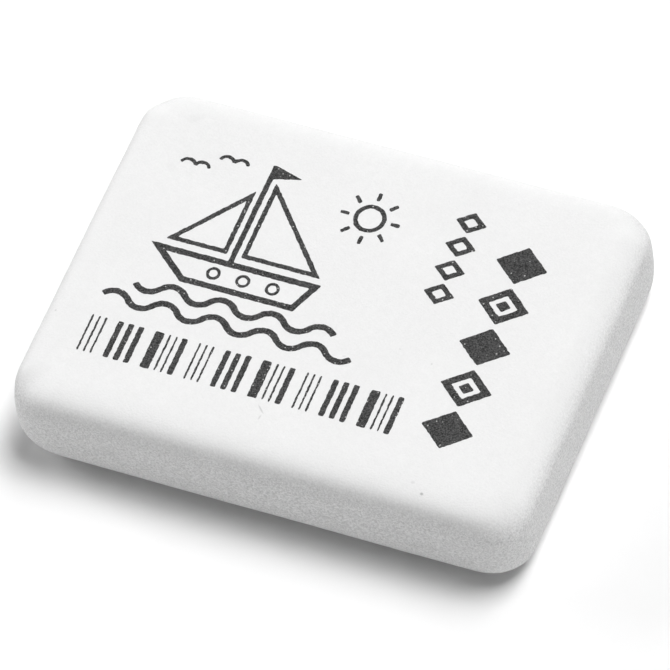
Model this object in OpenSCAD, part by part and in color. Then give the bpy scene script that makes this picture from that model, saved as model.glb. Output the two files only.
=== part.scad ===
// Moulded rubber eraser, a rounded block with a one-colour print on its top face.
// The origin is the centre of the underside. X runs along the block, Y across it and Z up.

/* [Block] */
// Length of the block
block_length = 31; // [26:0.5:45]
// Width of the block
block_width = 23; // [21:0.5:35]
// Thickness of the block
block_thickness = 6; // [4:0.5:15]
// Radius of the four upright corners, seen from above
corner_radius = 2.5; // [1:0.1:6]
// Radius of the rounding round the top face
top_edge_radius = 1.5; // [0.3:0.1:2]
// Radius of the rounding round the underside
bottom_edge_radius = 1.5; // [0.3:0.1:2]

/* [Print layout] */
// Thickness of the ink film
ink_thickness = 0.05; // [0.02:0.01:0.2]
// Bare rubber left of the print
left_margin = 3.1; // [2:0.1:4]
// Bare rubber in front of the print
front_margin = 4.1; // [2:0.1:5]
// Bare rubber right of the print
right_margin = 4.5; // [2:0.1:5.5]
// Bare rubber between the row of bars and the diamond column
bar_row_end_gap = 1.2; // [0.5:0.1:3]
// Bare rubber between the row of bars and the picture
picture_gap = 0.95; // [0.4:0.05:2]
// Least bare rubber between the waves and the small diamond column
picture_end_gap = 1.5; // [0.5:0.1:2.1]
// Bare rubber between the two diamond columns
column_gap = 1.3; // [0.5:0.1:1.8]

/* [Row of bars] */
// Height of every bar
bar_height = 2.5; // [1:0.1:3.5]
// Width of a thin bar
thin_bar = 0.1; // [0.06:0.01:0.15]
// Width of a wide bar
wide_bar = 0.32; // [0.2:0.01:0.4]
// Width of a broad bar
broad_bar = 0.54; // [0.4:0.01:0.8]
// Space between two bars of one group
bar_gap = 0.3; // [0.15:0.05:0.5]
// Space between two groups of bars
group_gap = 0.7; // [0.4:0.05:1.2]

/* [Diamond column] */
// Number of diamonds in the column
diamond_count = 5; // [1:1:5]
// Width of a diamond
diamond_width = 3.06; // [2:0.02:3.6]
// Height of a diamond
diamond_height = 2.56; // [1.5:0.02:2.8]
// Distance from one diamond to the next
diamond_pitch = 2.88; // [2.84:0.02:3.2]
// Line width of the hollow diamonds
diamond_line = 0.42; // [0.2:0.02:0.5]
// Width of the solid heart of a hollow diamond
diamond_heart = 0.9; // [0.4:0.05:1]

/* [Small diamond column] */
// Number of small diamonds
small_count = 4; // [1:1:4]
// Width of a small diamond
small_width = 1.85; // [1:0.05:2]
// Height of a small diamond
small_height = 1.46; // [0.8:0.02:1.6]
// Distance from one small diamond to the next
small_pitch = 1.68; // [1.62:0.02:1.8]
// Line width of a small diamond
small_line = 0.3; // [0.15:0.01:0.32]
// Height of the column's foot above the foot of the print
small_column_rise = 8.9; // [4:0.1:9.5]

/* [Waves] */
// Length of one wave
wave_length = 3; // [2:0.05:3.1]
// Height of a crest above the row's middle line
wave_rise = 0.36; // [0.2:0.02:0.45]
// Line width of the waves
wave_line = 0.38; // [0.2:0.02:0.5]
// Distance from the lower row to the upper row
wave_row_pitch = 1.2; // [1.1:0.05:1.6]

/* [Hull] */
// Length of the deck
hull_length = 10.4; // [8:0.1:12.5]
// Depth from the deck to the keel
hull_depth = 2.1; // [1.6:0.1:2.6]
// How far the bow leans out over the keel
bow_rake = 2.6; // [1:0.1:3]
// How far the stern leans out over the keel
stern_rake = 0.9; // [0.2:0.1:1.5]
// Line width of the hull
hull_line = 0.38; // [0.2:0.02:0.5]
// Bare rubber between the waves and the keel
hull_gap = 0.3; // [0.15:0.05:0.8]
// Distance from the picture's left end to the bow
bow_place = 1.2; // [0:0.1:2]
// Number of portholes
porthole_count = 3; // [1:1:3]
// Outer radius of a porthole
porthole_radius = 0.42; // [0.25:0.01:0.45]
// Line width of a porthole
porthole_line = 0.17; // [0.1:0.01:0.2]
// Distance from one porthole to the next
porthole_pitch = 1.8; // [1:0.1:2]

/* [Mast and sails] */
// Height of the mast above the deck
mast_height = 6.9; // [5.5:0.1:8]
// Width of the mast
mast_width = 0.32; // [0.2:0.02:0.5]
// Distance from the bow to the middle of the mast
mast_place = 4.9; // [4.4:0.1:6]
// Bare rubber between the mast and the sails
sail_gap = 0.28; // [0.15:0.01:0.5]
// Height of the sails' feet above the deck
foot_gap = 0.42; // [0.2:0.02:0.8]
// Length of the mainsail's foot
mainsail_foot = 4.8; // [3.5:0.1:5.5]
// Length of the jib's foot
jib_foot = 3.7; // [2.5:0.1:3.9]
// Height of the jib
jib_height = 4.5; // [3:0.1:5]
// Line width of the sails
sail_line = 0.28; // [0.15:0.01:0.35]
// Length of the pennant
pennant_length = 1.6; // [1:0.1:2.5]
// Height of the pennant
pennant_height = 0.9; // [0.5:0.05:1.2]
// Bare rubber between the pennant and the mainsail
head_gap = 0.2; // [0.1:0.05:0.5]

/* [Sun] */
// Outer radius of the sun's ring
sun_radius = 0.95; // [0.6:0.05:1.2]
// Line width of the ring
sun_line = 0.26; // [0.15:0.01:0.4]
// Number of rays
ray_count = 8; // [4:1:10]
// Length of a ray
ray_length = 0.55; // [0.3:0.05:0.8]
// Width of a ray
ray_width = 0.22; // [0.1:0.02:0.3]
// Bare rubber between the ring and its rays
ray_gap = 0.3; // [0.15:0.05:0.5]

/* [Gulls] */
// Number of gulls
gull_count = 2; // [1:1:2]
// Distance from the mast to the nearer gull
gull_distance = 2.4; // [1.5:0.1:3]
// How far the nearer gull flies below the top of the mast
gull_drop = 0.5; // [0:0.1:1.2]
// Sideways distance from one gull to the next
gull_step = 2.1; // [2:0.1:2.6]
// How much lower the next gull flies
gull_fall = 0.8; // [0:0.1:1.2]
// Span of a gull's two wings
gull_span = 1.7; // [1:0.1:2]
// Height of a wing's arc
gull_rise = 0.3; // [0.15:0.01:0.35]
// Line width of a wing
gull_line = 0.2; // [0.12:0.01:0.25]

/* [Hidden] */
$fn = 96;

rubber_white = "#f2f2f0";
ink_grey = "#434343";

// Flat that stays between two roundings, where a thin block or a small corner limits them
least_flat = 0.2;
most_rounding = min(corner_radius - least_flat, (block_thickness - least_flat) / 2);
top_rounding = min(top_edge_radius, most_rounding);
bottom_rounding = min(bottom_edge_radius, most_rounding);

print_left = -block_length / 2 + left_margin;
print_front = -block_width / 2 + front_margin;
diamond_column_x = block_length / 2 - right_margin - diamond_width / 2;
small_column_x = diamond_column_x - diamond_width / 2 - column_gap - small_width / 2;
bar_row_length = diamond_column_x - diamond_width / 2 - bar_row_end_gap - print_left;

// One turn of the bars' rhythm: each bar's width, then the space after it
bar_rhythm = [
    [thin_bar, bar_gap], [thin_bar, bar_gap], [thin_bar, group_gap],
    [wide_bar, bar_gap], [wide_bar, bar_gap], [wide_bar, group_gap],
    [broad_bar, bar_gap], [thin_bar, bar_gap], [thin_bar, bar_gap], [wide_bar, group_gap]
];
rhythm_length = bar_start(len(bar_rhythm));
rhythm_count = floor((bar_row_length + group_gap) / rhythm_length);

picture_front = print_front + bar_height + picture_gap;
small_column_left = small_column_x - small_width / 2;
wave_count = floor((small_column_left - picture_end_gap - print_left) / wave_length);
lower_wave_y = picture_front + wave_rise + wave_line / 2;
upper_wave_y = lower_wave_y + wave_row_pitch;
keel_y = upper_wave_y + wave_rise + wave_line / 2 + hull_gap;
deck_y = keel_y + hull_depth;
bow_x = print_left + bow_place;
mast_x = bow_x + mast_place;
mast_top_y = deck_y + mast_height;
foot_y = deck_y + foot_gap;
mainsail_height = mast_height - foot_gap - pennant_height - head_gap;
pennant_tip_x = mast_x + mast_width / 2 + pennant_length;
sun_reach = sun_radius + ray_gap + ray_length;
sun_place = [(pennant_tip_x + small_column_left) / 2, mast_top_y - sun_reach];

// Where bar number i of the rhythm starts
function bar_start(i) = i == 0 ? 0 : bar_start(i - 1) + bar_rhythm[i - 1][0] + bar_rhythm[i - 1][1];

// The line from a to b moved to its left by d, as the point where it starts
function moved_start(a, b, d) = a + d * [a[1] - b[1], b[0] - a[0]] / norm(b - a);

// Where the line through p along u meets the line through q along v
function meeting(p, u, q, v) = p + u * cross(q - p, v) / cross(u, v);

// Corners of a convex outline, given anticlockwise, moved inwards by d on every side
function inset(points, d) = [
    for (i = [0 : len(points) - 1])
        let (
            n = len(points),
            before = points[(i + n - 1) % n],
            here = points[i],
            after = points[(i + 1) % n]
        )
        meeting(moved_start(before, here, d), here - before, moved_start(here, after, d), after - here)
];

// Square corner that a rounding of radius r takes away, with the round's centre at the origin
module rounding_waste(r) {
    difference() {
        square([r, r]);
        circle(r = r);
    }
}

// Upright section from x = 0 to x = depth, rounded at its far top and bottom corners
module edge_section(depth) {
    difference() {
        square([depth, block_thickness]);
        translate([depth - top_rounding, block_thickness - top_rounding])
            rounding_waste(top_rounding);
        translate([depth - bottom_rounding, bottom_rounding])
            mirror([0, 1])
                rounding_waste(bottom_rounding);
    }
}

// Outline of a convex shape, as a line of the given width inside its corners
module outline(points, line) {
    difference() {
        polygon(points);
        polygon(inset(points, line));
    }
}

// Ring of the given outer radius and line width
module ring(radius, line) {
    difference() {
        circle(r = radius);
        circle(r = radius - line);
    }
}

// Arc over a chord along X centred on the origin, rising by rise at its middle line
module arc(chord, rise, line) {
    radius = (chord * chord / 4 + rise * rise) / (2 * rise);
    half_angle = asin(chord / (2 * radius));
    reach = radius + line;
    side = reach * [sin(half_angle), cos(half_angle)];
    translate([0, rise - radius])
        intersection() {
            ring(radius + line / 2, line);
            polygon([[0, 0], side, [side[0], reach], [-side[0], reach], [-side[0], side[1]]]);
        }
}

// Corners of a diamond centred on the origin, anticlockwise
function diamond(width, height) = [[0, -height / 2], [width / 2, 0], [0, height / 2], [-width / 2, 0]];

// Ink film of the given flat shape, lying on the top face
module ink() {
    color(ink_grey)
        translate([0, 0, block_thickness])
            linear_extrude(height = ink_thickness)
                children();
}

// The block: a bar along X, a slab at each end and a turned quarter at each corner
module eraser_block() {
    core_length = block_length - 2 * corner_radius;
    core_width = block_width - 2 * corner_radius;
    color(rubber_white) {
        for (side = [0, 180])
            rotate([0, 0, side])
                rotate([90, 0, 90])
                    linear_extrude(height = core_length, center = true)
                        edge_section(block_width / 2);
        for (side = [0, 180])
            rotate([0, 0, side])
                translate([core_length / 2, 0, 0])
                    rotate([90, 0, 0])
                        linear_extrude(height = core_width, center = true)
                            edge_section(corner_radius);
        for (corner = [[1, 1, 0], [-1, 1, 90], [-1, -1, 180], [1, -1, 270]])
            translate([corner[0] * core_length / 2, corner[1] * core_width / 2, 0])
                rotate([0, 0, corner[2]])
                    rotate_extrude(angle = 90)
                        edge_section(corner_radius);
    }
}

// Hull with its portholes, mast, two sails and pennant
module ink_sailboat() {
    ink() {
        translate([bow_x, keel_y])
            outline([
                [bow_rake, 0],
                [hull_length - stern_rake, 0],
                [hull_length, hull_depth],
                [0, hull_depth]
            ], hull_line);
        for (i = [0 : porthole_count - 1])
            translate([
                bow_x + (bow_rake + hull_length - stern_rake) / 2
                    + (i - (porthole_count - 1) / 2) * porthole_pitch,
                keel_y + hull_depth / 2
            ])
                ring(porthole_radius, porthole_line);
        translate([mast_x - mast_width / 2, deck_y])
            square([mast_width, mast_height]);
        translate([mast_x + mast_width / 2 + sail_gap, foot_y])
            outline([[0, 0], [mainsail_foot, 0], [0, mainsail_height]], sail_line);
        translate([mast_x - mast_width / 2 - sail_gap, foot_y])
            outline([[0, 0], [0, jib_height], [-jib_foot, 0]], sail_line);
        translate([mast_x + mast_width / 2, mast_top_y])
            polygon([[0, 0], [0, -pennant_height], [pennant_length, -pennant_height / 2]]);
    }
}

// Sun: a ring with short rays round it
module ink_sun() {
    ink()
        translate(sun_place) {
            ring(sun_radius, sun_line);
            for (i = [0 : ray_count - 1])
                rotate(i * 360 / ray_count)
                    translate([sun_radius + ray_gap, -ray_width / 2])
                        square([ray_length, ray_width]);
        }
}

// Gulls: two wings each, drawn as arcs that meet at the middle
module ink_gulls() {
    ink()
        for (i = [0 : gull_count - 1])
            translate([
                mast_x - gull_distance - i * gull_step,
                mast_top_y - gull_drop - i * gull_fall
            ])
                for (side = [-1, 1])
                    translate([side * gull_span / 4, 0])
                        arc(gull_span / 2, gull_rise, gull_line);
}

// Row of waves along X, starting at the origin
module wave_row(count) {
    for (i = [0 : 2 * count - 1])
        translate([(i + 0.5) * wave_length / 2, 0])
            mirror([0, i % 2])
                arc(wave_length / 2, wave_rise, wave_line);
}

// Waves: a full row in front and one with a wave less behind it, in step with each other
module ink_waves() {
    ink() {
        translate([print_left, lower_wave_y])
            wave_row(wave_count);
        translate([print_left + wave_length / 2, upper_wave_y])
            mirror([0, 1])
                wave_row(wave_count - 1);
    }
}

// Row of thin, wide and broad bars in a rhythm that repeats
module ink_bar_row() {
    ink()
        for (turn = [0 : rhythm_count - 1])
            for (i = [0 : len(bar_rhythm) - 1])
                translate([print_left + turn * rhythm_length + bar_start(i), print_front])
                    square([bar_rhythm[i][0], bar_height]);
}

// Column of diamonds, solid and hollow in turn
module ink_diamond_column() {
    heart_height = diamond_heart * diamond_height / diamond_width;
    ink()
        for (i = [0 : diamond_count - 1])
            translate([diamond_column_x, print_front + diamond_height / 2 + i * diamond_pitch]) {
                if (i % 2 == 0)
                    polygon(diamond(diamond_width, diamond_height));
                if (i % 2 == 1) {
                    outline(diamond(diamond_width, diamond_height), diamond_line);
                    polygon(diamond(diamond_heart, heart_height));
                }
            }
}

// Column of small hollow diamonds
module ink_small_diamonds() {
    ink()
        for (i = [0 : small_count - 1])
            translate([
                small_column_x,
                print_front + small_column_rise + small_height / 2 + i * small_pitch
            ])
                outline(diamond(small_width, small_height), small_line);
}

eraser_block();
ink_sailboat();
ink_sun();
ink_gulls();
ink_waves();
ink_bar_row();
ink_diamond_column();
ink_small_diamonds();
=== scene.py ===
"""Looks of a moulded rubber eraser with a pad-printed top face."""
import math

import bmesh
import bpy
from mathutils import Matrix, Vector, noise
from mathutils.bvhtree import BVHTree


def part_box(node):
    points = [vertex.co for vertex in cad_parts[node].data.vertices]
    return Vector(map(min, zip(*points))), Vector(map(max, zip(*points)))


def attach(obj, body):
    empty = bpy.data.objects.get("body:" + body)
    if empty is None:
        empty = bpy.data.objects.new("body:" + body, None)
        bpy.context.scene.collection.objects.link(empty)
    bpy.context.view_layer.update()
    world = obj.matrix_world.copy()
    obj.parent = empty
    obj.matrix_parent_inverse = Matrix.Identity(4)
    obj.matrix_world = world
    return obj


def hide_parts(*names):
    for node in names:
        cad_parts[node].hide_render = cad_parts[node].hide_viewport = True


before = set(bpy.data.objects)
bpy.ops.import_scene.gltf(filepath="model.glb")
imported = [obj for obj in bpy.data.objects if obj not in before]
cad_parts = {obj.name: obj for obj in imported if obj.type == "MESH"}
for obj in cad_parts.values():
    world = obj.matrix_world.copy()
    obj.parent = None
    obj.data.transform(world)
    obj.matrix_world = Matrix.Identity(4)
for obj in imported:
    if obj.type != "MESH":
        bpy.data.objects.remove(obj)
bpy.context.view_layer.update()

MM = 0.001
BLOCK_LOW, BLOCK_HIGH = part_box("eraser_block")
HALF_LENGTH = (BLOCK_HIGH.x - BLOCK_LOW.x) / 2
HALF_WIDTH = (BLOCK_HIGH.y - BLOCK_LOW.y) / 2
THICKNESS = BLOCK_HIGH.z - BLOCK_LOW.z
MID_HEIGHT = THICKNESS / 2
ROUNDING = THICKNESS / 2

# Across the long edges and corners the block's section is a superellipse right through its thickness,
# where a higher power is a crisper edge. The ends have flat walls between round edges. The upper edge
# of one corner is the crispest, and the underside is a little crisper than the top
PLAN_POWER = 3.1
LONG_EDGE_POWER = 4.2
CORNER_POWER = 2.8
CRISPEST_CORNER_POWER = 3.4
UNDERSIDE_CRISPNESS = 0.4
END_EDGE_RADIUS = 1.6 * MM
WEAR_VARIATION = 0.06
WEAR_LENGTH = 7 * MM

# The faces of moulded rubber are never quite flat
SAG_DEPTH = 0.02 * MM
SAG_LENGTH = 7 * MM

# Mesh spacings of the block, on its flats and around its edges
FLAT_CELL = 0.5 * MM
EDGE_CELL = 0.2 * MM

# The ink film: how far it stands above the rubber and sinks into it, its mesh spacings, and how its
# outline spreads and frays
FILM_RISE = 0.010 * MM
FILM_SOAK = 0.006 * MM
INK_CELL = 0.3 * MM
INK_EDGE_STEP = 0.05 * MM
INK_CORNER_ROUNDS = 3
INK_SPREAD = 0.006 * MM
INK_SPREAD_VARIATION = 0.02 * MM
INK_SPREAD_LENGTH = 0.4 * MM
INK_RAGGED = 0.028 * MM
INK_RAGGED_LENGTH = 0.2 * MM
INK_WELD = 0.002 * MM

# The Mix node's sockets when it mixes colours
MIX_FACTOR = 0
MIX_FIRST = 6
MIX_SECOND = 7
MIX_RESULT = 2

# Most of a noise's values lie between these
NOISE_LOW = 0.3
NOISE_HIGH = 0.7

# Rubber: the sizes of its grain, the heights between which the grain and the painted shade of the sides
# fade, and its tones. The sides' tones are darker than the top's and paint the shade of the walls.
# Real powder is too fine to show, so it is drawn as coarse as it needs to
POWDER_SIZE = 0.11 * MM
CRUMB_SIZE = 0.5 * MM
CLOUD_SIZE = 4 * MM
GRAINY_AND_SHADED_UP_TO = THICKNESS - 1.5 * MM
SMOOTH_AND_UNSHADED_FROM = THICKNESS - 0.25 * MM
GRAIN_AND_SHADE_ON_TOP = 0.1
GRAIN_DEPTH = 0.05 * MM
CRUMB_RELIEF = 0.3
RELIEF_ON_TOP = 0.4
CLEAN_RUBBER = ("#e8e8e8", "#ebebeb")
CRUMBLY_RUBBER = "#e2e2e2"
CRUMB_SHARE = 0.35
# Tones of the sides' grain, darker on average than the top: real grain with painted shade of the walls
SIDE_GRAIN_AND_PAINTED_SHADE = ("#c2c2c2", "#eeeeee")
SCUFFED_RUBBER = "#808080"

# Ink: its speckle, blotches and tones. Each cell of its surface holds one pinhole or none, and pinhole
# sizes are shares of a cell. Real speckle is too fine to show, so it is drawn as coarse as it needs to
SPECKLE_SIZE = 0.09 * MM
SPECKLE_LOW = 0.4
BLOTCH_SIZE = 0.7 * MM
INK_DEPTH = 0.015 * MM
FULL_INK = ("#242424", "#353535")
THIN_INK = "#606060"
PINHOLE_SPACING = 0.38 * MM
PINHOLE_FREE = 0.4
WIDEST_PINHOLE = 0.15
PINHOLE_EDGE = 0.06
PINHOLE_STRENGTH = 0.75
RUBBER_IN_PINHOLE = "#c9c9c8"

# Card: the size of its faint clouds and their two whites
CARD_CLOUD_SIZE = 6 * MM
CARD_WHITES = ("#f6f6f6", "#f8f8f8")

# Scuffs and specks on the top face: their middle, length and width in mm, turn in degrees and strength.
# Each is at full strength out to the solid share of its size, and fades from there
MARK_SOLID = 0.4
MARKS = (
    ((-0.93, -8.0), (0.85, 0.13), -45, 0.3),
    ((-0.80, -8.5), (0.45, 0.13), -100, 0.2),
    ((9.61, -10.42), (0.26, 0.2), 0, 0.55),
    ((8.9, -9.9), (0.3, 0.25), 0, 0.15),
    ((2.18, -3.28), (0.3, 0.09), 20, 0.2),
    ((5.0, -1.9), (0.14, 0.1), 0, 0.2),
    ((7.05, -2.3), (0.14, 0.12), 0, 0.25),
    ((-14.6, -5.2), (0.2, 0.15), 0, 0.3),
    ((-12.05, 9.4), (1.4, 0.8), 30, 0.04),
    ((-12.0, 5.8), (1.2, 0.6), -20, 0.04),
)

# The camera, at the photo's viewing angle. Angles are in degrees, its lens and sensor in mm, and all
# other lengths here in metres
CAMERA_AZIMUTH = 30.5605
CAMERA_ELEVATION = 55.0745
CAMERA_ROLL = 10.7396
CAMERA_DISTANCE = 419.570 * MM
ORIGIN_RIGHT_OF_CENTRE = 0.335 * MM
ORIGIN_BELOW_CENTRE = 1.412 * MM
CAMERA_LENS = 398.62
CAMERA_SENSOR = 36
CAMERA_NEAR = 10 * MM
CAMERA_FAR = 20000 * MM

# The softboxes, in metres: name, azimuth from +x and elevation in degrees, and power in watts. Their
# powers are matched to the photo's greys
SOFTBOX_SIZE = 1.2
SOFTBOX_DISTANCE = 2.4
SOFTBOXES = (
    ("overhead_softbox", 51, 68, 53.7),
    ("back_softbox", 85, 45, 8.6),
    ("left_softbox", 170, 20, 24.0),
    ("front_softbox", 270, 20, 9.4),
    ("right_softbox", 0, 20, 3.4),
)

# The studio: an even band of light along the horizon, which fades between two elevations in degrees,
# and the floor, in metres
HORIZON_LIGHT = 0.85
CEILING_LIGHT = 0.01
BAND_TOP = 3
BAND_FADED = 5.4
FLOOR_HALF_SIZE = 3

# How the ink's outline frays follows from the seed. Of the four seeds tried, 7, 3, 11 and 20, this is the
# only one that folds over no face of the ink's sheets, so a new seed or print needs its sheets checked
NOISE_SEED = 11

# Points closer than the weld are one, a face points up when its normal rises by more than FACING_UP,
# and an edge between two faces that turn by less than FLAT_ANGLE, in radians, isn't needed
WELD = 1e-7
FACING_UP = 0.5
FLAT_ANGLE = 0.01
UP = Vector((0, 0, 1))


def linear(hex_colour):
    """Linear colour, with alpha, of an sRGB hex colour such as #808080."""
    channels = [int(hex_colour[i : i + 2], 16) / 255 for i in (1, 3, 5)]
    curved = [c / 12.92 if c <= 0.04045 else ((c + 0.055) / 1.055) ** 2.4 for c in channels]
    return (*curved, 1.0)


def add(tree, kind, settings, inputs):
    """Adds a node to a material's tree, with its settings, and sets or links its inputs."""
    node = tree.nodes.new(kind)
    for name, value in settings.items():
        setattr(node, name, value)
    for socket, value in inputs.items():
        if isinstance(value, bpy.types.NodeSocket):
            tree.links.new(value, node.inputs[socket])
        else:
            node.inputs[socket].default_value = value
    return node


def new_material(name):
    """An empty material, its tree and the object coordinates that its patterns read."""
    material = bpy.data.materials.new(name)
    material.use_nodes = True
    tree = material.node_tree
    tree.nodes.clear()
    place = add(tree, "ShaderNodeTexCoord", {}, {}).outputs["Object"]
    return material, tree, place


def finish_material(tree, shader):
    """Links a shader to the material's surface."""
    add(tree, "ShaderNodeOutputMaterial", {}, {"Surface": shader.outputs[0]})


def patchy(tree, pattern, low, share, first, second):
    """The first colour, turning up to a share into the second where a noise pattern rises past low."""
    patches = add(
        tree,
        "ShaderNodeMapRange",
        {"clamp": True},
        {"Value": pattern, "From Min": low, "From Max": NOISE_HIGH, "To Min": 0, "To Max": share},
    )
    colour = add(
        tree,
        "ShaderNodeMix",
        {"data_type": "RGBA"},
        {MIX_FACTOR: patches.outputs["Result"], MIX_FIRST: first, MIX_SECOND: second},
    )
    return colour.outputs[MIX_RESULT]


def mark(tree, place, centre, size, turn, strength):
    """A soft oval mark on the top face, as a factor that is strength at its middle. Lengths are in mm."""
    oval = add(
        tree,
        "ShaderNodeMapping",
        {"vector_type": "TEXTURE"},
        {
            "Vector": place,
            "Location": (centre[0] * MM, centre[1] * MM, THICKNESS),
            "Rotation": (0, 0, math.radians(turn)),
            "Scale": (size[0] / 2 * MM, size[1] / 2 * MM, THICKNESS / 4),
        },
    )
    reach = add(tree, "ShaderNodeVectorMath", {"operation": "LENGTH"}, {0: oval.outputs["Vector"]})
    faded = add(
        tree,
        "ShaderNodeMapRange",
        {"clamp": True},
        {"Value": reach.outputs["Value"], "From Min": MARK_SOLID, "To Min": strength, "To Max": 0},
    )
    return faded.outputs["Result"]


def moulded_rubber():
    """Vulcanised rubber, moulded and tumbled."""
    # To the eye it is chalky white and matt, smooth on top and grainy round its sides, and it has the
    # small scuffs and specks of handling. The sides' grain is darker than the top, which paints their
    # shade
    material, tree, place = new_material("moulded_vulcanised_rubber")
    powder = add(
        tree,
        "ShaderNodeTexNoise",
        {},
        {"Vector": place, "Scale": 1 / POWDER_SIZE, "Detail": 2, "Roughness": 0.6},
    ).outputs["Fac"]
    crumb = add(
        tree,
        "ShaderNodeTexNoise",
        {},
        {"Vector": place, "Scale": 1 / CRUMB_SIZE, "Detail": 3, "Roughness": 0.6},
    ).outputs["Fac"]
    cloud = add(
        tree,
        "ShaderNodeTexNoise",
        {},
        {"Vector": place, "Scale": 1 / CLOUD_SIZE, "Detail": 2, "Roughness": 0.5},
    ).outputs["Fac"]
    height_above = add(tree, "ShaderNodeSeparateXYZ", {}, {"Vector": place}).outputs["Z"]
    # Mask of the sides below the top edge, for their grain, their bumps and their painted shade
    side = add(
        tree,
        "ShaderNodeMapRange",
        {"clamp": True},
        {
            "Value": height_above,
            "From Min": GRAINY_AND_SHADED_UP_TO,
            "From Max": SMOOTH_AND_UNSHADED_FROM,
            "To Min": 1,
            "To Max": GRAIN_AND_SHADE_ON_TOP,
        },
    ).outputs["Result"]
    tone = patchy(tree, cloud, NOISE_LOW, 1, *map(linear, CLEAN_RUBBER))
    mottled = patchy(tree, crumb, NOISE_LOW, CRUMB_SHARE, tone, linear(CRUMBLY_RUBBER))
    # Real grain mixed with painted shade: the sides come out darker than the top
    grain_and_painted_shade = patchy(tree, powder, NOISE_LOW, 1, *map(linear, SIDE_GRAIN_AND_PAINTED_SHADE))
    grainy_and_painted_shade = add(
        tree,
        "ShaderNodeMix",
        {"data_type": "RGBA"},
        {MIX_FACTOR: side, MIX_FIRST: mottled, MIX_SECOND: grain_and_painted_shade},
    ).outputs[MIX_RESULT]
    worst = mark(tree, place, *MARKS[0])
    for scuff in MARKS[1:]:
        worst = add(
            tree,
            "ShaderNodeMath",
            {"operation": "MAXIMUM"},
            {0: worst, 1: mark(tree, place, *scuff)},
        ).outputs["Value"]
    marked = add(
        tree,
        "ShaderNodeMix",
        {"data_type": "RGBA"},
        {MIX_FACTOR: worst, MIX_FIRST: grainy_and_painted_shade, MIX_SECOND: linear(SCUFFED_RUBBER)},
    ).outputs[MIX_RESULT]
    relief = add(
        tree,
        "ShaderNodeMath",
        {"operation": "MULTIPLY_ADD"},
        {0: crumb, 1: CRUMB_RELIEF, 2: powder},
    ).outputs["Value"]
    strength = add(
        tree,
        "ShaderNodeMapRange",
        {"clamp": True},
        {"Value": side, "To Min": RELIEF_ON_TOP, "To Max": 1},
    ).outputs["Result"]
    bump = add(
        tree,
        "ShaderNodeBump",
        {},
        {"Strength": strength, "Distance": GRAIN_DEPTH, "Height": relief},
    )
    shader = add(
        tree,
        "ShaderNodeBsdfPrincipled",
        {},
        {
            "Base Color": marked,
            "Roughness": 0.85,
            "IOR": 1.5,
            "Specular IOR Level": 0.35,
            "Normal": bump.outputs["Normal"],
        },
    )
    finish_material(tree, shader)
    return material


def pad_ink():
    """Pad-printing ink, dried on the rubber."""
    # To the eye it is matt dark grey, finely speckled, with pinholes that let the rubber through
    material, tree, place = new_material("pad_printed_ink")
    speckle = add(
        tree,
        "ShaderNodeTexNoise",
        {},
        {"Vector": place, "Scale": 1 / SPECKLE_SIZE, "Detail": 2, "Roughness": 0.7},
    ).outputs["Fac"]
    blotch = add(
        tree,
        "ShaderNodeTexNoise",
        {},
        {"Vector": place, "Scale": 1 / BLOTCH_SIZE, "Detail": 2, "Roughness": 0.5},
    ).outputs["Fac"]
    tone = patchy(tree, blotch, NOISE_LOW, 1, *map(linear, FULL_INK))
    speckled = patchy(tree, speckle, SPECKLE_LOW, 1, tone, linear(THIN_INK))
    cells = add(
        tree,
        "ShaderNodeTexVoronoi",
        {"voronoi_dimensions": "2D", "feature": "F1"},
        {"Vector": place, "Scale": 1 / PINHOLE_SPACING, "Randomness": 1.0},
    )
    chance = add(tree, "ShaderNodeSeparateColor", {}, {"Color": cells.outputs["Color"]})
    size = add(
        tree,
        "ShaderNodeMapRange",
        {"clamp": True},
        {"Value": chance.outputs["Red"], "From Min": PINHOLE_FREE, "To Max": WIDEST_PINHOLE},
    )
    inside = add(
        tree,
        "ShaderNodeMath",
        {"operation": "SUBTRACT"},
        {0: size.outputs["Result"], 1: cells.outputs["Distance"]},
    )
    bare = add(
        tree,
        "ShaderNodeMapRange",
        {"clamp": True},
        {"Value": inside.outputs["Value"], "From Max": PINHOLE_EDGE, "To Max": PINHOLE_STRENGTH},
    )
    colour = add(
        tree,
        "ShaderNodeMix",
        {"data_type": "RGBA"},
        {
            MIX_FACTOR: bare.outputs["Result"],
            MIX_FIRST: speckled,
            MIX_SECOND: linear(RUBBER_IN_PINHOLE),
        },
    )
    bump = add(tree, "ShaderNodeBump", {}, {"Strength": 1.0, "Distance": INK_DEPTH, "Height": speckle})
    shader = add(
        tree,
        "ShaderNodeBsdfPrincipled",
        {},
        {
            "Base Color": colour.outputs[MIX_RESULT],
            "Roughness": 0.8,
            "IOR": 1.5,
            "Specular IOR Level": 0.15,
            "Normal": bump.outputs["Normal"],
        },
    )
    finish_material(tree, shader)
    return material


def white_card():
    """Uncoated card, pressed smooth."""
    # To the eye it is plain matt white, a little cloudy
    material, tree, place = new_material("matt_white_card")
    cloud = add(
        tree,
        "ShaderNodeTexNoise",
        {},
        {"Vector": place, "Scale": 1 / CARD_CLOUD_SIZE, "Detail": 2, "Roughness": 0.5},
    )
    first, second = map(linear, CARD_WHITES)
    colour = add(
        tree,
        "ShaderNodeMix",
        {"data_type": "RGBA"},
        {MIX_FACTOR: cloud.outputs["Fac"], MIX_FIRST: first, MIX_SECOND: second},
    )
    shader = add(
        tree,
        "ShaderNodeBsdfPrincipled",
        {},
        {"Base Color": colour.outputs[MIX_RESULT], "Roughness": 1.0, "Specular IOR Level": 0.0},
    )
    finish_material(tree, shader)
    return material


def object_from(bm, name, material, smooth):
    """Object of that name from a bmesh, with its material."""
    mesh = bpy.data.meshes.new(name)
    bm.to_mesh(mesh)
    bm.free()
    mesh.materials.append(material)
    for polygon in mesh.polygons:
        polygon.use_smooth = smooth
    piece = bpy.data.objects.new(name, mesh)
    bpy.context.scene.collection.objects.link(piece)
    return piece


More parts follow.
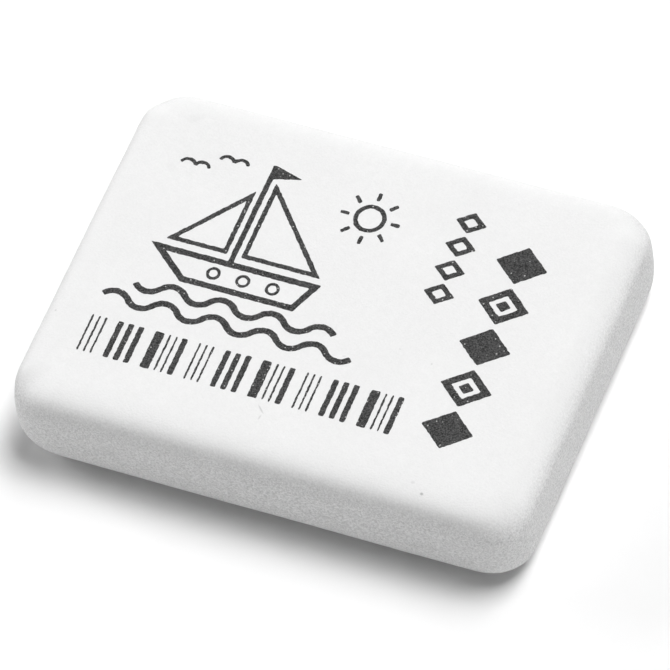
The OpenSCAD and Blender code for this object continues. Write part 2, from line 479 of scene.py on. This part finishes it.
def cut_in_cells(bm, axis, low, high, cell):
    """Cuts the mesh by planes across an axis, at most a cell apart."""
    normal = Vector((0, 0, 0))
    normal[axis] = 1
    count = max(1, math.ceil((high - low) / cell))
    for i in range(count + 1):
        place = normal * (low + (high - low) * i / count)
        geometry = bm.verts[:] + bm.edges[:] + bm.faces[:]
        bmesh.ops.bisect_plane(bm, geom=geometry, dist=WELD, plane_co=place, plane_no=normal)


def sag(place):
    """How far the surface lies inside its true place."""
    return SAG_DEPTH * (0.5 + 0.5 * noise.noise(place / SAG_LENGTH))


def past_core(place):
    """How far a point lies past the flat core that the rounding is swept around, as a vector."""
    core_length = HALF_LENGTH - ROUNDING
    core_width = HALF_WIDTH - ROUNDING
    core = Vector((
        min(max(place.x, -core_length), core_length),
        min(max(place.y, -core_width), core_width),
        MID_HEIGHT,
    ))
    return place - core


def superellipse_size(across, up, power):
    """Half-size of the superellipse of that power that goes through a point."""
    return (abs(across) ** power + abs(up) ** power) ** (1 / power)


def round_square_size(across, up, radius):
    """Half-size of the square through a point, its corners rounded to radius times that half-size."""
    across, up = abs(across), abs(up)
    flat = 1 - radius
    if min(across, up) <= flat * max(across, up):
        return max(across, up)
    square = across**2 + up**2
    half = flat * (across + up)
    return square / (half + math.sqrt(half**2 - (2 * flat**2 - radius**2) * square))


def worn(place):
    """Where a point of the sharp block lies once its edges and corners are rounded."""
    past = past_core(place)
    level = past.x**2 + past.y**2
    if level == 0:
        return place
    end_share = past.x**2 / level
    corner_share = (2 * past.x * past.y / level) ** 2
    wear = WEAR_VARIATION * noise.noise(place / WEAR_LENGTH)
    crispest = place.x > 0 > place.y and past.z > 0
    corner_power = CRISPEST_CORNER_POWER if crispest else CORNER_POWER
    power = LONG_EDGE_POWER + (corner_power - LONG_EDGE_POWER) * corner_share
    if past.z < 0:
        power += UNDERSIDE_CRISPNESS
    across = superellipse_size(past.x, past.y, PLAN_POWER)
    soft = superellipse_size(across, past.z, power * (1 + wear))
    flat = round_square_size(across, past.z, END_EDGE_RADIUS / ROUNDING * (1 - wear))
    size = soft + (flat - soft) * end_share * (1 - corner_share)
    return place - past + past * (ROUNDING / size)


def block_mesh():
    """The block: a cube cut in cells, its points moved out to the worn shape and then sunk by the sag."""
    bm = bmesh.new()
    bmesh.ops.create_cube(bm, size=1)
    size = Matrix.Diagonal((2 * HALF_LENGTH, 2 * HALF_WIDTH, THICKNESS, 1))
    bmesh.ops.transform(bm, matrix=Matrix.Translation(UP * MID_HEIGHT) @ size, verts=bm.verts)
    for axis, half in ((0, HALF_LENGTH), (1, HALF_WIDTH)):
        flat = half - ROUNDING
        cut_in_cells(bm, axis, -half, -flat, EDGE_CELL)
        cut_in_cells(bm, axis, -flat, flat, FLAT_CELL)
        cut_in_cells(bm, axis, flat, half, EDGE_CELL)
    cut_in_cells(bm, 2, 0, THICKNESS, EDGE_CELL)
    for v in bm.verts:
        v.co = worn(v.co)
    bm.normal_update()
    for v in bm.verts:
        if v.co.z > WELD:
            v.co -= v.normal * sag(v.co)
    return bm


def edge_neighbours(vert):
    """The two points next to a vertex along the sheet's border."""
    return [e.other_vert(vert).co.copy() for e in vert.link_edges if e.is_boundary]


def outward(vert):
    """Direction out of the sheet at a vertex of its border."""
    total = Vector((0, 0, 0))
    for edge in vert.link_edges:
        if edge.is_boundary:
            face = edge.link_faces[0]
            middle = (edge.verts[0].co + edge.verts[1].co) / 2
            across = (edge.verts[1].co - edge.verts[0].co).cross(UP)
            points_out = across.dot(middle - face.calc_center_median()) > 0
            total += across.normalized() * (1 if points_out else -1)
    return total.normalized() if total.length > 0 else total


def top_sheet(node):
    """The top faces of a CAD node, as few as they can be, in a mesh of their own."""
    bm = bmesh.new()
    bm.from_mesh(node.data)
    bmesh.ops.remove_doubles(bm, verts=bm.verts, dist=WELD)
    bm.normal_update()
    rest = [f for f in bm.faces if f.normal.z < FACING_UP]
    bmesh.ops.delete(bm, geom=rest, context="FACES")
    bmesh.ops.dissolve_limit(bm, angle_limit=FLAT_ANGLE, verts=bm.verts, edges=bm.edges)
    return bm


def fray(bm):
    """Cuts the sheet's border in short steps, softens its corners, and lets it spread and fray."""
    by_cuts = {}
    for e in bm.edges:
        if e.is_boundary:
            by_cuts.setdefault(math.ceil(e.calc_length() / INK_EDGE_STEP) - 1, []).append(e)
    for cuts, edges in sorted(by_cuts.items()):
        if cuts > 0:
            bmesh.ops.bisect_edges(bm, edges=edges, cuts=cuts)
    rim = [v for v in bm.verts if v.is_boundary]
    for _ in range(INK_CORNER_ROUNDS):
        middles = {v: sum(edge_neighbours(v), Vector()) / 2 for v in rim}
        for v, middle in middles.items():
            v.co = v.co.lerp(middle, 0.5)
    ways = {v: outward(v) for v in rim}
    for v, way in ways.items():
        spread = INK_SPREAD + INK_SPREAD_VARIATION * noise.noise(v.co / INK_SPREAD_LENGTH)
        ragged = noise.noise_vector(v.co / INK_RAGGED_LENGTH) * INK_RAGGED
        v.co += way * spread + Vector((ragged.x, ragged.y, 0))


def fill(bm):
    """Fills the sheet's border anew, in small faces. With some seeds a few of them fold over."""
    border = [e for e in bm.edges if e.is_boundary]
    seams = [e for e in bm.edges if not e.is_boundary]
    bmesh.ops.delete(bm, geom=bm.faces[:], context="FACES_ONLY")
    bmesh.ops.delete(bm, geom=seams, context="EDGES")
    bmesh.ops.triangle_fill(bm, edges=border, normal=UP, use_beauty=True)
    xs = [v.co.x for v in bm.verts]
    ys = [v.co.y for v in bm.verts]
    cut_in_cells(bm, 0, min(xs) - INK_CELL / 2, max(xs) + INK_CELL / 2, INK_CELL)
    cut_in_cells(bm, 1, min(ys) - INK_CELL / 2, max(ys) + INK_CELL / 2, INK_CELL)
    bmesh.ops.dissolve_degenerate(bm, dist=INK_WELD, edges=bm.edges)


def ink_mesh(node, surface):
    """The printed film of one CAD node, laid on the block's surface."""
    bm = top_sheet(node)
    fray(bm)
    fill(bm)
    lower = set(bm.verts)
    bmesh.ops.extrude_face_region(bm, geom=bm.faces[:], use_keep_orig=True)
    for v in bm.verts:
        on_block = surface.ray_cast(Vector((v.co.x, v.co.y, 2 * THICKNESS)), -UP)[0]
        v.co.z = on_block.z + (-FILM_SOAK if v in lower else FILM_RISE)
    bmesh.ops.triangulate(bm, faces=bm.faces[:])
    bmesh.ops.recalc_face_normals(bm, faces=bm.faces[:])
    return bm


def make_block():
    """The rubber block, in place of its CAD node. Returns its surface for the print to lie on."""
    bm = block_mesh()
    surface = BVHTree.FromBMesh(bm)
    block = object_from(bm, "rubber_block", moulded_rubber(), True)
    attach(block, "root")
    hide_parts("eraser_block")
    return surface


def make_print(surface):
    """The printed films, each in place of its CAD node."""
    material = pad_ink()
    for name in sorted(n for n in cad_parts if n.startswith("ink_")):
        bm = ink_mesh(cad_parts[name], surface)
        film = object_from(bm, name.replace("ink_", "printed_"), material, False)
        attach(film, "root")
        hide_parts(name)


def make_floor():
    """A wide floor of white card."""
    bm = bmesh.new()
    bmesh.ops.create_grid(bm, x_segments=1, y_segments=1, size=FLOOR_HALF_SIZE)
    floor = object_from(bm, "floor", white_card(), False)


def make_camera():
    """The camera at the photo's place, turned as the photo's was."""
    azimuth, elevation, roll = map(math.radians, (CAMERA_AZIMUTH, CAMERA_ELEVATION, CAMERA_ROLL))
    back = Vector((
        math.sin(azimuth) * math.cos(elevation),
        -math.cos(azimuth) * math.cos(elevation),
        math.sin(elevation),
    ))
    level_right = (-back).cross(UP).normalized()
    level_up = back.cross(level_right)
    right = level_right * math.cos(roll) - level_up * math.sin(roll)
    up = level_right * math.sin(roll) + level_up * math.cos(roll)
    place = back * CAMERA_DISTANCE - right * ORIGIN_RIGHT_OF_CENTRE + up * ORIGIN_BELOW_CENTRE
    data = bpy.data.cameras.new("camera")
    data.sensor_width = CAMERA_SENSOR
    data.lens = CAMERA_LENS
    data.clip_start = CAMERA_NEAR
    data.clip_end = CAMERA_FAR
    camera = bpy.data.objects.new("camera", data)
    turn = Matrix((right, up, back)).transposed()
    camera.matrix_world = Matrix.Translation(place) @ turn.to_4x4()
    bpy.context.scene.collection.objects.link(camera)
    bpy.context.scene.camera = camera


def make_softboxes():
    """Square soft lights round the object, all facing it."""
    for name, azimuth, elevation, power in SOFTBOXES:
        data = bpy.data.lights.new(name, "AREA")
        data.shape = "SQUARE"
        data.size = SOFTBOX_SIZE
        data.energy = power
        light = bpy.data.objects.new(name, data)
        flat = SOFTBOX_DISTANCE * math.cos(math.radians(elevation))
        place = Vector((
            flat * math.cos(math.radians(azimuth)),
            flat * math.sin(math.radians(azimuth)),
            SOFTBOX_DISTANCE * math.sin(math.radians(elevation)),
        ))
        turn = (-place).to_track_quat("-Z", "Y").to_matrix().to_4x4()
        light.matrix_world = Matrix.Translation(place) @ turn
        light.visible_camera = False
        bpy.context.scene.collection.objects.link(light)


def make_surroundings():
    """A dark studio with an even, pale horizon."""
    world = bpy.data.worlds.new("studio")
    bpy.context.scene.world = world
    world.use_nodes = True
    tree = world.node_tree
    tree.nodes.clear()
    way = add(tree, "ShaderNodeTexCoord", {}, {}).outputs["Generated"]
    rise = add(tree, "ShaderNodeSeparateXYZ", {}, {"Vector": way}).outputs["Z"]
    dimmed = add(
        tree,
        "ShaderNodeMapRange",
        {"clamp": True},
        {
            "Value": rise,
            "From Min": math.sin(math.radians(BAND_TOP)),
            "From Max": math.sin(math.radians(BAND_FADED)),
            "To Min": HORIZON_LIGHT,
            "To Max": CEILING_LIGHT,
        },
    )
    shader = add(tree, "ShaderNodeBackground", {}, {"Color": dimmed.outputs["Result"]})
    add(tree, "ShaderNodeOutputWorld", {}, {"Surface": shader.outputs[0]})


noise.seed_set(NOISE_SEED)
make_camera()
block_surface = make_block()
make_print(block_surface)
make_floor()
make_surroundings()
make_softboxes()
bpy.context.scene.view_settings.view_transform = "Standard"
